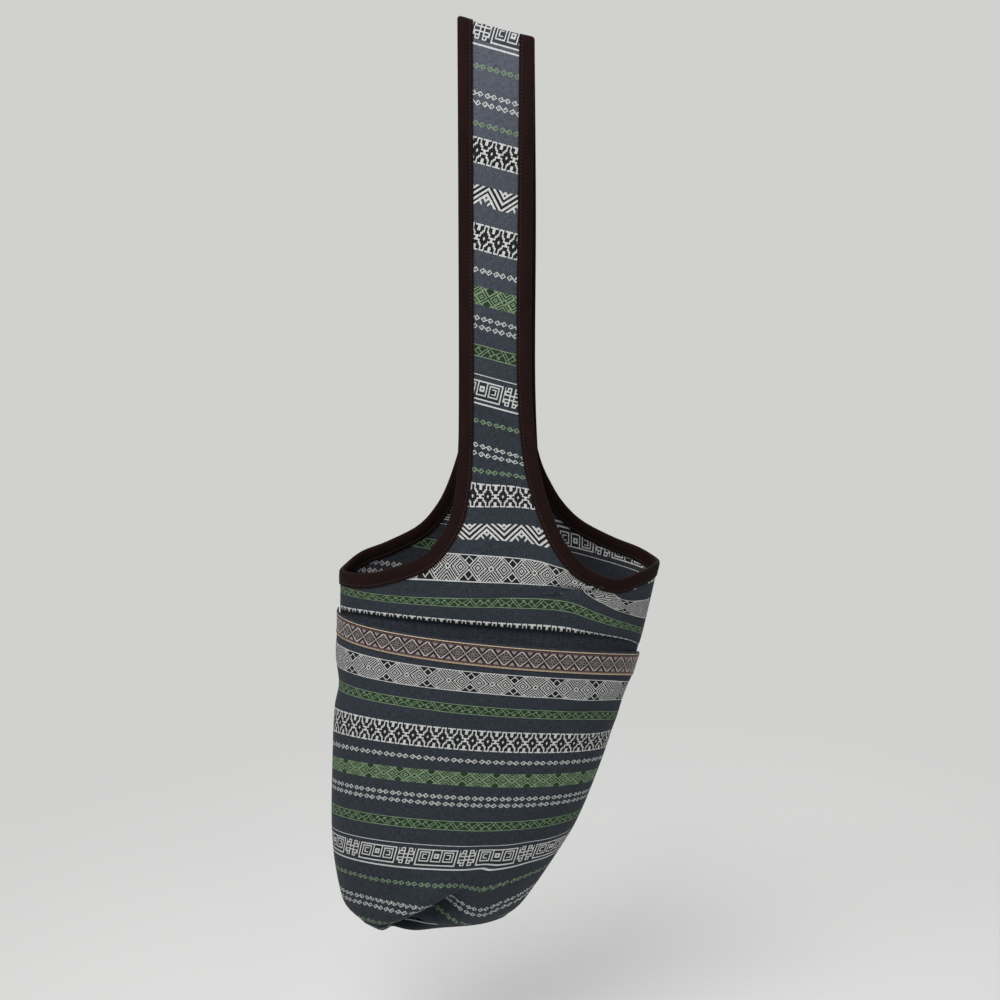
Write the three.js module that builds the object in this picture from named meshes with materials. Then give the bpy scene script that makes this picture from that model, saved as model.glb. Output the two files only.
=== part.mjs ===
// A bucket shoulder bag sewn from printed cotton, hanging by its strap.
// Front, strap and back are one length of cloth with a lining of the same cut. Brown tape binds
// each armhole, an oval base closes the bottom, and a patch pocket with a ribbon covers the front.
// Millimetres, +Z up, the front towards -Y. The origin is under the fold of the strap, where it hangs.
import * as THREE from "three";

const { lerp, clamp, smoothstep, degToRad } = THREE.MathUtils;

// Driving dimensions
const STRAP_WIDTH = 66;
const STRAP_DROP = 484; // from the hanging fold down to the corners of the mouth
const FOLD_GAP = 8; // clear width inside the hanging fold
const FOLD_SLOPE = 16; // degrees that the fold, and the strap's weave with it, drops to the right
const ARMHOLE_HEIGHT = 110; // from the corners of the mouth up to the parallel strap
const MOUTH_WIDTH = 296;
const MOUTH_DEPTH = 124;
const MOUTH_SHIFT = 3; // sideways from the fold to the middle of the mouth
const BODY_HEIGHT = 331; // from the corners of the mouth down to the hem
const BELLY_WIDTH = 206; // the width that the straight sides aim at above the base
const BELLY_DEPTH = 156;
const BASE_WIDTH = 162;
const BASE_DEPTH = 132;
const BASE_SHIFT = -57; // sideways from the fold to the middle of the base
const ROUND_HEIGHT = 84; // height over which the sides turn in to the base
const CLOTH = 1; // thickness of the printed cotton
const SEAM_GAP = 0.3; // clearance between sewn layers
const BINDING_WIDTH = 12;
const BINDING_CLOTH = 0.8;
const BINDING_GAP = 0.5; // clearance between the folded tape and the cloth in it
const POCKET_DROP_LEFT = 38; // from the corner of the mouth down to the pocket's lip
const POCKET_DROP_RIGHT = 86;
const POCKET_EASE = 15; // how far the slack lip stands off the front
const RIBBON_WIDTH = 20;
const RIBBON_INSET = 3; // from the pocket's lip down to the ribbon
const RIBBON_CLOTH = 0.6;

// Facets
const COLUMNS = 12; // across the front, and across the back
const ROUND_ROWS = 4; // rows of the turned-in part
const SIDE_ROWS = 4; // rows of the straight sides
const ARMHOLE_ROWS = 9; // closer together near the corners of the mouth
const STRAP_ROWS = 5;
const POCKET_ROWS = 3; // rows of the pocket between the turned-in part and the ribbon
const BASE_SEGMENTS = 32;

// Heights and layers that follow from the dimensions
const MOUTH_Z = -STRAP_DROP;
const BASE_Z = MOUTH_Z - BODY_HEIGHT;
const ROUND_Z = BASE_Z + ROUND_HEIGHT;
const RIM_Z = MOUTH_Z - BINDING_WIDTH; // lower edge of the binding at the corners
const STRAP_Z = MOUTH_Z + ARMHOLE_HEIGHT;
const HALF_STRAP = STRAP_WIDTH / 2;
const LAYER_NEAR = SEAM_GAP / 2; // outer cloth and lining lie on either side of one middle surface
const LAYER_FAR = LAYER_NEAR + CLOTH;
const FOLD_TOP = LAYER_FAR; // puts the underside of the fold at the origin
const FOLD_HALF = FOLD_GAP / 2 + LAYER_FAR;
const FOLD_FLAT = 0.6 * FOLD_HALF; // half width of the fold's flat top
const FRONT = -1;
const BACK = 1;
const LEFT = -1;
const RIGHT = 1;
const SEAM_ANGLE = Math.PI / 2;

// Half width, half depth and middle of the tube of cloth at a height
function tubeAt(z) {
  if (z > MOUTH_Z) {
    const hang = z / MOUTH_Z;
    const spread = 0.35 * hang + 0.65 * hang ** 4; // the strap's two halves part slowly, then flare
    return {
      halfWidth: MOUTH_WIDTH / 2,
      halfDepth: lerp(FOLD_HALF, MOUTH_DEPTH / 2, clamp(spread, 0, 1)),
      middle: MOUTH_SHIFT * hang,
    };
  }
  const rise = (z - BASE_Z) / BODY_HEIGHT;
  const turned = Math.sin(clamp((z - BASE_Z) / ROUND_HEIGHT, 0, 1) * SEAM_ANGLE);
  return {
    halfWidth: 0.5 * lerp(BELLY_WIDTH, MOUTH_WIDTH, rise) * lerp(BASE_WIDTH / BELLY_WIDTH, 1, turned),
    halfDepth: 0.5 * lerp(BELLY_DEPTH, MOUTH_DEPTH, rise) * lerp(BASE_DEPTH / BELLY_DEPTH, 1, turned),
    middle: lerp(BASE_SHIFT, MOUTH_SHIFT, rise),
  };
}

// The slope of the fold runs down the strap and dies out at the mouth
function sheared(point) {
  const share = smoothstep(point.z, MOUTH_Z, STRAP_Z);
  point.z -= point.x * Math.tan(degToRad(FOLD_SLOPE)) * share;
  return point;
}

// A point of the tube's middle surface. The angle is 0 at the middle of a side and +-90 degrees at the seams.
function tubePoint(side, angle, z) {
  const { halfWidth, halfDepth, middle } = tubeAt(z);
  const x = middle + halfWidth * Math.sin(angle);
  return sheared(new THREE.Vector3(x, side * halfDepth * Math.cos(angle), z));
}

function tubeNormal(side, angle, z) {
  const step = 1e-3;
  const around = tubePoint(side, angle + step, z).sub(tubePoint(side, angle - step, z));
  const upwards = tubePoint(side, angle, z + step).sub(tubePoint(side, angle, z - step));
  return around.cross(upwards).multiplyScalar(-side).normalize();
}

function angleAt(x, z) {
  const { halfWidth, middle } = tubeAt(z);
  return Math.asin(clamp((x - middle) / halfWidth, -1, 1));
}

// A surface of quads with a normal at each point, from which the layers of cloth are made
class Sheet {
  points = [];
  normals = [];
  quads = [];

  add(point, normal) {
    this.normals.push(normal);
    return this.points.push(point) - 1;
  }

  // The hem is cut level, so its layers end at one height
  addOnTube(side, angle, z) {
    const normal = tubeNormal(side, angle, z);
    if (z === BASE_Z) normal.setZ(0).normalize();
    return this.add(tubePoint(side, angle, z), normal);
  }

  // Quads between two rows of points, facing the way of first row x step to the next row
  bridge(row, next) {
    for (let k = 0; k + 1 < row.length; k++) this.quads.push([row[k], row[k + 1], next[k + 1], next[k]]);
  }

  offset(index, distance) {
    return this.points[index].clone().addScaledVector(this.normals[index], distance);
  }

  // Edges that only one quad uses, each in the direction in which its quad runs
  border() {
    const used = new Set(this.quads.flatMap((quad) => quad.map((a, k) => `${a} ${quad[(k + 1) % 4]}`)));
    return [...used].map((edge) => edge.split(" ").map(Number)).filter(([a, b]) => !used.has(`${b} ${a}`));
  }

  // The closed layer of cloth between two distances from the sheet. A distance may vary from point to point.
  layer(near, far) {
    const distance = (value, index) => (typeof value === "function" ? value(index) : value);
    const count = this.points.length;
    const corners = [far, near].flatMap((value) => this.points.map((_, i) => this.offset(i, distance(value, i))));
    const faces = this.quads.flatMap(([a, b, c, d]) => [
      [a, b, c, d],
      [a + count, d + count, c + count, b + count],
    ]);
    for (const [a, b] of this.border()) faces.push([b, a, a + count, b + count]);
    return solid(corners, faces);
  }
}

// Two triangles for each quad, split from its first corner to its third
function solid(corners, faces) {
  const geometry = new THREE.BufferGeometry().setFromPoints(corners);
  geometry.setIndex(faces.flatMap(([a, b, c, d]) => [a, b, c, a, c, d]));
  geometry.computeVertexNormals();
  return geometry;
}

const evenly = (count, from, to) => Array.from({ length: count + 1 }, (_, k) => lerp(from, to, k / count));
const columnAngles = evenly(COLUMNS, -SEAM_ANGLE, SEAM_ANGLE);
const roundLevels = evenly(ROUND_ROWS, BASE_Z, ROUND_Z);

// The left or right edge of the armhole and strap on one side: places of the edge and, one binding width in,
// of the binding's stitch line, from the corner of the mouth up to the fold
function edgeStations(hand) {
  const strapEdge = hand * HALF_STRAP;
  const { halfWidth, middle } = tubeAt(MOUTH_Z);
  const curve = new THREE.QuadraticBezierCurve(
    new THREE.Vector2(middle + hand * halfWidth, MOUTH_Z),
    new THREE.Vector2(strapEdge, MOUTH_Z),
    new THREE.Vector2(strapEdge, STRAP_Z),
  );
  const armhole = evenly(ARMHOLE_ROWS, 0, 1).map((share) => {
    const t = share ** 1.6;
    const edge = curve.getPoint(t);
    const along = curve.getTangent(t);
    const inwards = new THREE.Vector2(along.y, -along.x).multiplyScalar(-hand);
    return { edge, stitch: edge.clone().addScaledVector(inwards, BINDING_WIDTH) };
  });
  const strap = evenly(STRAP_ROWS, STRAP_Z, -FOLD_HALF).slice(1);
  const straight = strap.map((z) => ({
    edge: new THREE.Vector2(strapEdge, z),
    stitch: new THREE.Vector2(strapEdge - hand * BINDING_WIDTH, z),
  }));
  return [...armhole, ...straight];
}

// The middle surface of the front, strap and back, with the rows of its strap loop for the bindings
function panelSheet() {
  const sheet = new Sheet();
  const levels = [...roundLevels, ...evenly(SIDE_ROWS, ROUND_Z, RIM_Z).slice(1)];
  const rings = levels.map((level) => {
    const sag = level === RIM_Z ? BINDING_WIDTH : 0; // the rim's row clears the stitch lines of the bindings
    const ring = (side, angles) =>
      angles.map((angle) => sheet.addOnTube(side, angle, level - sag * Math.cos(angle)));
    const front = ring(FRONT, columnAngles);
    return { front, back: [front[0], ...ring(BACK, columnAngles.slice(1, -1)), front[COLUMNS]] };
  });
  for (let j = 0; j + 1 < rings.length; j++) {
    sheet.bridge(rings[j].front, rings[j + 1].front);
    sheet.bridge(rings[j + 1].back, rings[j].back);
  }

  const left = edgeStations(LEFT);
  const right = edgeStations(RIGHT);
  const place = (side, { x, y: z }) => sheet.addOnTube(side, angleAt(x, z), z);
  const acrossStrap = (side, station) => {
    const from = left[station].stitch;
    const to = right[station].stitch;
    const between = evenly(COLUMNS, 0, 1).map((t) => place(side, from.clone().lerp(to, t)));
    return [place(side, left[station].edge), ...between, place(side, right[station].edge)];
  };
  const corners = [left, right].map((edge) => place(FRONT, edge[0].edge));
  const rim = rings[rings.length - 1];
  const mouthRow = (side) => [corners[0], ...rim[side], corners[1]];
  const stations = left.map((_, station) => station).slice(1);
  const foldRow = (y) => {
    const inside = evenly(COLUMNS, BINDING_WIDTH - HALF_STRAP, HALF_STRAP - BINDING_WIDTH);
    const slope = degToRad(FOLD_SLOPE);
    const up = new THREE.Vector3(Math.sin(slope), 0, Math.cos(slope));
    return [-HALF_STRAP, ...inside, HALF_STRAP].map((x) => {
      const middle = new THREE.Vector3(x, y, 0);
      return sheet.add(sheared(middle).addScaledVector(up, FOLD_TOP), up.clone());
    });
  };
  const rows = [
    mouthRow("front"),
    ...stations.map((station) => acrossStrap(FRONT, station)),
    foldRow(-FOLD_FLAT),
    foldRow(FOLD_FLAT),
    ...stations.reverse().map((station) => acrossStrap(BACK, station)),
    mouthRow("back"),
  ];
  for (let j = 0; j + 1 < rows.length; j++) sheet.bridge(rows[j], rows[j + 1]);
  return { sheet, rows: rows.slice(0, -1) };
}

// Tape folded over the edge of both layers, all the way round one armhole and over the fold.
// Its legs are split into the same triangles as the cloth they lie on.
function bindingGeometry({ sheet, rows }, hand) {
  const inner = LAYER_FAR + BINDING_GAP;
  const outer = inner + BINDING_CLOTH;
  const turn = BINDING_GAP + BINDING_CLOTH;
  const section = [
    ["stitch", outer, 0],
    ["edge", outer, 0],
    ["edge", outer / 2, turn],
    ["edge", -outer / 2, turn],
    ["edge", -outer, 0],
    ["stitch", -outer, 0],
    ["stitch", -inner, 0],
    ["edge", -inner, BINDING_GAP],
    ["edge", inner, BINDING_GAP],
    ["stitch", inner, 0],
  ];
  const size = section.length;
  const corners = rows.flatMap((row) => {
    const [edge, stitch] = hand === LEFT ? row : [row.at(-1), row.at(-2)];
    const line = { edge, stitch };
    const outwards = sheet.points[edge].clone().sub(sheet.points[stitch]).normalize();
    return section.map(([name, height, beyond]) =>
      sheet.offset(line[name], height).addScaledVector(outwards, beyond),
    );
  });
  const faces = rows.flatMap((_, j) => {
    const here = j * size;
    const next = ((j + 1) % rows.length) * size;
    return section.map(([name], k) => {
      const after = (k + 1) % size;
      const face = [here + k, here + after, next + after, next + k];
      if (hand === LEFT) face.reverse();
      if (name === "edge" && section[after][0] === "stitch") face.push(face.shift());
      return face;
    });
  });
  return solid(corners, faces);
}

// The pocket's middle rows stand off the front more and more towards the slack lip
function pocketSheet() {
  const sheet = new Sheet();
  const gaps = [];
  const lipAt = (angle) =>
    lerp(MOUTH_Z - POCKET_DROP_LEFT, MOUTH_Z - POCKET_DROP_RIGHT, (Math.sin(angle) + 1) / 2);
  const ribbonFoot = RIBBON_INSET + RIBBON_WIDTH;
  const heights = [
    ...roundLevels.map((z) => () => z),
    ...evenly(POCKET_ROWS, 0, 1).slice(1).map((t) => (lip) => lerp(ROUND_Z, lip - ribbonFoot, t)),
    (lip) => lip - RIBBON_INSET,
    (lip) => lip,
  ];
  const rows = heights.map((height) =>
    columnAngles.map((angle) => {
      const lip = lipAt(angle);
      const z = height(lip);
      const opened = clamp((z - ROUND_Z) / (lip - ROUND_Z), 0, 1);
      gaps.push(SEAM_GAP + POCKET_EASE * (Math.cos(angle) * opened) ** 2);
      return sheet.addOnTube(FRONT, angle, z);
    }),
  );
  for (let j = 0; j + 1 < rows.length; j++) sheet.bridge(rows[j], rows[j + 1]);
  return { sheet, rows, gaps };
}

// Only the ribbon's two rows of the pocket's sheet
function ribbonSheet({ sheet, rows }) {
  const strip = new Sheet();
  strip.points = sheet.points;
  strip.normals = sheet.normals;
  const first = rows.length - 3;
  strip.bridge(rows[first], rows[first + 1]);
  return strip;
}

// An oval of cloth under the hem, the given number of layers down
function baseGeometry(layersDown) {
  const { halfWidth, halfDepth, middle } = tubeAt(BASE_Z);
  const outline = new THREE.Shape();
  outline.absellipse(middle, 0, halfWidth + LAYER_FAR, halfDepth + LAYER_FAR, 0, 2 * Math.PI);
  const settings = { depth: CLOTH, bevelEnabled: false, curveSegments: BASE_SEGMENTS };
  const geometry = new THREE.ExtrudeGeometry(outline, settings);
  return geometry.translate(0, 0, BASE_Z - layersDown * (SEAM_GAP + CLOTH));
}

// Drops the points that no face uses, as in a strip cut from a larger sheet
function trimmed(geometry) {
  const source = geometry.toNonIndexed();
  return new THREE.BufferGeometry().setAttribute("position", source.getAttribute("position"));
}

const printedCotton = new THREE.MeshStandardMaterial({ color: 0x454a54, roughness: 0.95, metalness: 0 });
const liningCotton = new THREE.MeshStandardMaterial({ color: 0x3c4149, roughness: 0.95, metalness: 0 });
const brownTape = new THREE.MeshStandardMaterial({ color: 0x2b1515, roughness: 0.9, metalness: 0 });
const jacquardRibbon = new THREE.MeshStandardMaterial({ color: 0x8a7068, roughness: 0.8, metalness: 0 });

const bag = new THREE.Group();

function addPiece(name, geometry, material) {
  const piece = new THREE.Mesh(geometry, material);
  piece.name = name;
  bag.add(piece);
}

const panel = panelSheet();
addPiece("outer_panel", panel.sheet.layer(LAYER_NEAR, LAYER_FAR), printedCotton);
addPiece("lining_panel", panel.sheet.layer(-LAYER_FAR, -LAYER_NEAR), liningCotton);
addPiece("left_binding", bindingGeometry(panel, LEFT), brownTape);
addPiece("right_binding", bindingGeometry(panel, RIGHT), brownTape);

const pocket = pocketSheet();
const pocketNear = (index) => LAYER_FAR + pocket.gaps[index];
const pocketFar = (index) => pocketNear(index) + CLOTH;
const ribbonNear = (index) => pocketFar(index) + SEAM_GAP;
const ribbonFar = (index) => ribbonNear(index) + RIBBON_CLOTH;
addPiece("front_pocket", pocket.sheet.layer(pocketNear, pocketFar), printedCotton);
addPiece("pocket_ribbon", trimmed(ribbonSheet(pocket).layer(ribbonNear, ribbonFar)), jacquardRibbon);

addPiece("base_lining", baseGeometry(1), liningCotton);
addPiece("base_panel", baseGeometry(2), printedCotton);

export default bag;
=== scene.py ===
import math

import bmesh
import bpy
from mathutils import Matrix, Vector
from mathutils.bvhtree import BVHTree


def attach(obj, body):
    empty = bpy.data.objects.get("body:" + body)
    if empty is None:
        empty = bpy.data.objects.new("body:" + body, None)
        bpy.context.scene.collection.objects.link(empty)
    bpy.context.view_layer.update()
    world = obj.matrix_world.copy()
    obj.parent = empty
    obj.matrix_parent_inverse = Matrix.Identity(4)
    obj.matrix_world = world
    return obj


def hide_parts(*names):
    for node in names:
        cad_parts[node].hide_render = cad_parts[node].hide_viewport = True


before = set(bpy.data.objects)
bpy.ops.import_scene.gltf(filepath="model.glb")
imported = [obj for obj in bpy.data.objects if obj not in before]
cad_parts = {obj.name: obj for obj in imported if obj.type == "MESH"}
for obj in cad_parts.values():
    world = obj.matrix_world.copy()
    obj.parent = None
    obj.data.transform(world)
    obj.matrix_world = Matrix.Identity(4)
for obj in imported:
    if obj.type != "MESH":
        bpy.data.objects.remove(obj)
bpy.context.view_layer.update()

# The bag's skin: front, strap and back are one length of printed cotton canvas, folded at the top
# of the strap and seamed up both sides to the armholes. It hangs slack and leans to the left, and
# a tuck is sewn across the front above the pocket. Heights and widths below are in millimetres.
MM = 0.001
LEFT_CORNER = (-144.5, -488.5)  # x and z of the mouth's corners
RIGHT_CORNER = (151.0, -480.0)
HEM_Z = -820.0
TUCK_LEFT, TUCK_MIDDLE, TUCK_RIGHT = -525.0, -527.0, -562.0  # the tuck's height across the front
TUCK_STEP = 6.0
MOUTH_DIP = 18.0
STRAP_ROOT_Z = -370.5
FOLD_Z = -4.3
FOLD_RADIUS = 5.5
STRAP_SLOPE = 0.273  # the fold slopes, and the strap's weave with it
STRAP_CURL, CURL_FADE = 1.2, 60.0  # the strap's edges bend in, but not near the fold
EDGE_HOLD, JOIN_SHARE = 0.28, 0.4  # how the rows beside the armholes leave the top of the body
SIDE_SEAMS = [  # z, x of the left seam, x of the right seam
    (-820, -134, 12), (-812, -143, 21), (-799, -147.5, 31), (-763, -153, 54), (-729, -154.5, 74),
    (-676, -153, 95), (-620, -150, 113), (-596, -145.5, 121), (-567, -148, 131), (-541, -146, 138),
    (-480, -144.5, 151),
]
HALF_DEPTH = [  # z, from the seams out to the middle of the front or back
    (-820, 38), (-812, 46), (-799, 54), (-775, 63), (-740, 68), (-680, 69), (-600, 67), (-540, 65),
    (-484, 63), (-467, 60), (-449, 55.5), (-436, 51), (-405, 42), (-370, 34.5), (-283, 22),
    (-150, 12), (-60, 7.5), (-4.3, 5.5), (20, 5.5),
]
ARMHOLE_EDGES = {  # side and hand: x and z of the edge, from the corner of the mouth up to the strap
    (-1, -1): [LEFT_CORNER, (-119, -486.5), (-96, -480), (-65, -467), (-49, -449), (-39.5, -430),
               (-34.5, -400), (-32.5, -361)],
    (-1, 1): [RIGHT_CORNER, (131, -486), (108, -490), (80, -477), (60, -453), (49, -428), (41, -403),
              (36, -380)],
    (1, -1): [LEFT_CORNER, (-128, -477), (-105, -469.5), (-75, -455), (-57, -435), (-46, -414),
              (-36, -385), (-30, -361)],
    (1, 1): [RIGHT_CORNER, (135, -472.5), (112, -465), (82, -450), (62, -430), (49, -408), (42, -392),
             (38, -378)],
}
STRAP_EDGES = {  # side: z in the middle, x of the left edge, x of the right edge
    -1: [(-370.5, -32.5, 36), (-330, -32.3, 32), (-283, -32.3, 30.5), (-150, -32.6, 31.5),
         (20, -33, 33)],
    1: [(-370.5, -30, 38), (-330, -29.5, 36), (-283, -29.5, 35), (-150, -30.5, 35), (20, -33, 33)],
}
FRONT_DENTS = [  # x and z of both ends, width, depth: slack valleys in the front
    (70, -488, 126, -530, 12, 5.0), (10, -500, 90, -545, 16, 2.0), (-120, -515, -60, -500, 14, 1.4),
]
HEM_SLACK = [  # the same for the front and the pocket together, low down
    (-12, -738, 2, -815, 13, 3.0), (30, -730, 34, -800, 12, 1.6), (-128, -770, -112, -815, 12, 2.2),
]


def blend(a, b, t):
    return a + (b - a) * t


def read_curve(stations, key):
    """The values between listed stations, on a smooth curve through them."""
    last = len(stations) - 1
    k = min(max(sum(s[0] <= key for s in stations) - 1, 0), last - 1)
    step = stations[k + 1][0] - stations[k][0]
    t = min(max((key - stations[k][0]) / step, 0.0), 1.0)

    def slope(m, c):
        before, after = stations[max(m - 1, 0)], stations[min(m + 1, last)]
        return (after[c] - before[c]) / (after[0] - before[0]) * step

    def value(c):
        here, there = stations[k][c], stations[k + 1][c]
        eased = (2 * t ** 3 - 3 * t ** 2 + 1) * here + (3 * t ** 2 - 2 * t ** 3) * there
        return eased + (t ** 3 - 2 * t ** 2 + t) * slope(k, c) + (t ** 3 - t ** 2) * slope(k + 1, c)

    return [value(c) for c in range(1, len(stations[0]))]


def dent(dents, x, z):
    """How far slack valleys push a place of the cloth in."""
    depth = 0.0
    for x0, z0, x1, z1, width, deep in dents:
        t = ((x - x0) * (x1 - x0) + (z - z0) * (z1 - z0)) / ((x1 - x0) ** 2 + (z1 - z0) ** 2)
        t = min(max(t, 0.0), 1.0)
        away = math.hypot(x - blend(x0, x1, t), z - blend(z0, z1, t))
        depth += deep * math.exp(-((away / width) ** 2))
    return depth


PLEAT_FOOT, PLEAT_HEAD = (-101.0, -818.0), (-42.0, -778.0)
PLEAT_LIP, PLEAT_HOLLOW = 9.0, 23.0


def beside_pleat(x, z):
    """How far a place lies past the pleat's head and how far to its right."""
    run = (PLEAT_HEAD[0] - PLEAT_FOOT[0], PLEAT_HEAD[1] - PLEAT_FOOT[1])
    length = math.hypot(*run)
    t = ((x - PLEAT_FOOT[0]) * run[0] + (z - PLEAT_FOOT[1]) * run[1]) / length
    away = ((x - PLEAT_FOOT[0]) * run[1] - (z - PLEAT_FOOT[1]) * run[0]) / length
    return t - length, away


def pleat(x, z):
    """The slack of the hem is caught in one slanting pleat: its left lip stands out over a hollow."""
    past_head, away = beside_pleat(x, z)
    fade = 1 / (1 + math.exp(past_head / 6))
    lip = math.exp(-((away + 4) / 18) ** 2) * PLEAT_LIP
    hollow = math.exp(-((away - 6) / 15) ** 2) * PLEAT_HOLLOW
    return fade * blend(-lip, hollow, 1 / (1 + math.exp(-away / 1.1)))


def body_surface(side, across, z, dents=()):
    """The body's middle surface: across is -1 to 1 between the side seams, at the height z."""
    left, right = read_curve(SIDE_SEAMS, z)
    x = blend(left, right, (math.sin(across * math.pi / 2) + 1) / 2)
    round_off = math.cos(across * math.pi / 2)
    depth = read_curve(HALF_DEPTH, z)[0] * round_off
    if side < 0:
        slack = dent(dents, x, z) + dent(HEM_SLACK, x, z) + pleat(x, z)
        depth -= slack * min(1.0, 2 * round_off)
    return Vector((x, side * depth, z))


def tuck_height(side, across):
    level = blend(TUCK_LEFT, TUCK_RIGHT, (across + 1) / 2)
    arch = TUCK_MIDDLE - (TUCK_LEFT + TUCK_RIGHT) / 2
    return level + (arch * (1 - across ** 2) if side < 0 else 0.0)


def below_tuck(side, across, share):
    point = body_surface(side, across, blend(HEM_Z, tuck_height(side, across), share), FRONT_DENTS)
    if side < 0:
        point.y += TUCK_STEP * share ** 4 * math.cos(across * math.pi / 2)
    return point


def above_tuck(side, across, share):
    swing = (math.sin(across * math.pi / 2) + 1) / 2
    mouth = blend(LEFT_CORNER[1], RIGHT_CORNER[1], swing)
    if side < 0:
        mouth -= MOUTH_DIP * (1 - across ** 2)
    return body_surface(side, across, blend(tuck_height(side, across), mouth, share), FRONT_DENTS)


def between_armholes(side, across, share):
    edges = [[(k, *p) for k, p in enumerate(ARMHOLE_EDGES[side, hand])] for hand in (-1, 1)]
    left, right = (read_curve(edge, share * (len(edge) - 1)) for edge in edges)
    middle = (LEFT_CORNER[0] + RIGHT_CORNER[0]) / 2
    half = (RIGHT_CORNER[0] - LEFT_CORNER[0]) / 2
    angles = [math.asin(min(max((x - middle) / half, -1), 1)) for x in (left[0], right[0])]
    angle = blend(*angles, (across + 1) / 2)
    x = middle + half * math.sin(angle)
    z = blend(left[1], right[1], (x - left[0]) / (right[0] - left[0]))
    depth = read_curve(HALF_DEPTH, (left[1] + right[1]) / 2)[0] * math.cos(angle)
    if side < 0:
        depth -= dent(FRONT_DENTS, x, z) * min(1.0, 2 * math.cos(angle))
    return Vector((x, side * depth, z))


def beside_armholes(side, across, share):
    """Between the armholes, starting exactly from the top of the body."""
    join = above_tuck(side, across, 1.0) - between_armholes(side, across, 0.0)
    gone = min(max((share - EDGE_HOLD * max(across, 0.0) ** 2) / JOIN_SHARE, 0.0), 1.0)
    return between_armholes(side, across, share) + join * (1 - gone) ** 2


def on_strap(side, across, middle_z):
    left, right = read_curve(STRAP_EDGES[side], middle_z)
    x = blend(left, right, (across + 1) / 2)
    curl = STRAP_CURL * across ** 2 * min(1, -middle_z / CURL_FADE)
    depth = read_curve(HALF_DEPTH, middle_z)[0] - curl
    return Vector((x, side * depth, middle_z - STRAP_SLOPE * x))


def over_fold(side, across, angle):
    left, right = read_curve(STRAP_EDGES[side], FOLD_Z)
    x = blend(left, right, (across + 1) / 2)
    y = side * FOLD_RADIUS * math.cos(angle)
    return Vector((x, y, FOLD_Z + FOLD_RADIUS * math.sin(angle) - STRAP_SLOPE * x))


def evenly(count, start=0.0, end=1.0):
    return [blend(start, end, k / count) for k in range(count + 1)]


COLUMNS = 96
across_cloth = evenly(COLUMNS, -1, 1)
levels = [(below_tuck, share) for share in evenly(48)]
TUCK_ROW = len(levels)
levels += [(above_tuck, share) for share in evenly(20)]
MOUTH_ROW = len(levels) - 1
levels += [(beside_armholes, share ** 1.8) for share in evenly(36)[1:]]
levels += [(on_strap, z) for z in evenly(60, STRAP_ROOT_Z, FOLD_Z)[1:]]
levels += [(over_fold, angle) for angle in evenly(4, 0, math.pi / 2)[1:]]
FOLD_ROW = len(levels) - 1
whole_loop = [(-1, *level) for level in levels] + [(1, *level) for level in reversed(levels[:-1])]
skin_rows = [[place(side, s, share) * MM for s in across_cloth] for side, place, share in whole_loop]


def running_length(points, start):
    """Distance along a row of points, counted from one of them."""
    lengths = [0.0]
    for a, b in zip(points, points[1:]):
        lengths.append(lengths[-1] + (b - a).length)
    return [length - lengths[start] for length in lengths]


def cloth_grid(rows, marks):
    """Cloth laid through rows of points. Each point's place on the flat cloth is its UV, in metres."""
    bm = bmesh.new()
    bmesh.ops.create_grid(bm, x_segments=len(rows[0]) - 1, y_segments=len(rows) - 1, size=1)
    flat = bm.loops.layers.uv.new("cloth")
    places = {}
    for vert in bm.verts:
        i = round((vert.co.x + 1) / 2 * (len(rows[0]) - 1))
        j = round((vert.co.y + 1) / 2 * (len(rows) - 1))
        places[vert] = (i, j)
    for face in bm.faces:
        for loop in face.loops:
            i, j = places[loop.vert]
            loop[flat].uv = marks[j][i]
    for vert, (i, j) in places.items():
        vert.co = rows[j][i]
    bmesh.ops.remove_doubles(bm, verts=bm.verts, dist=0.02 * MM)
    bm.normal_update()
    return bm


def push_out(bm, distance):
    bm.normal_update()
    for vert, move in [(vert, vert.normal * distance) for vert in bm.verts]:
        vert.co += move


def finish_piece(name, bm, material):
    mesh = bpy.data.meshes.new(name)
    for face in bm.faces:
        face.smooth = True
    bm.to_mesh(mesh)
    bm.free()
    piece = bpy.data.objects.new(name, mesh)
    bpy.context.scene.collection.objects.link(piece)
    mesh.materials.append(material)
    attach(piece, "root")
    return piece


def give_thickness(piece, thickness):
    solid = piece.modifiers.new("thickness", "SOLIDIFY")
    solid.thickness = thickness
    solid.offset = 1


FRONT_SLANT = [  # place in the print, its rise to the left edge, its drop at five shares to the right
    (0, 0, 0, 0, 0, 0, 0), (373, 0, 0, 0, 0, 0, 0), (425, 4.5, 0.6, 1.4, 2.5, 3.9, 7),
    (456, 2.5, 0.8, 1.8, 3.2, 5, 9), (505, -1, 1, 2, 4, 7, 14), (537, 0, 1, 3, 7, 12, 36),
    (545, -3, 1, 4, 10, 20, 50), (549, -5.5, 1, 9, 18, 45, 55), (552, -8, 2, 14, 30, 55, 58),
    (556, -11, 4, 18, 48, 61, 62), (559, -14, 6, 26, 57, 64, 67), (563, -15.5, 9, 38, 64, 66, 73),
    (569, -12, 8, 32, 60, 61, 64), (575, -8, 6, 24, 48, 54, 55), (582.5, -4, 4, 16, 31, 40, 43),
    (589.5, -1, 1, 9, 17, 22, 24), (595, 0.7, 0, 0.4, 0.8, 1, 1),
]
PRINT_AT = [  # length from the fold, place in the print
    (0, -3.4), (22.3, 19), (40.7, 38), (68.6, 69), (91, 92), (114.5, 117), (153.3, 160), (191.2, 198),
    (220, 230), (243.4, 251.5), (266.9, 277.6), (292.1, 305), (328.1, 340), (356.4, 373), (382.6, 404),
    (399.3, 427), (420.7, 452), (452.5, 495), (486.8, 533), (519, 568),
]
PRINT_LEAN = [(0, 0), (372, 98), (440, 108), (560, 108)]  # the strap is cut aslant to the print
BARE = 0.1775  # a place in the print with no motif
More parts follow.
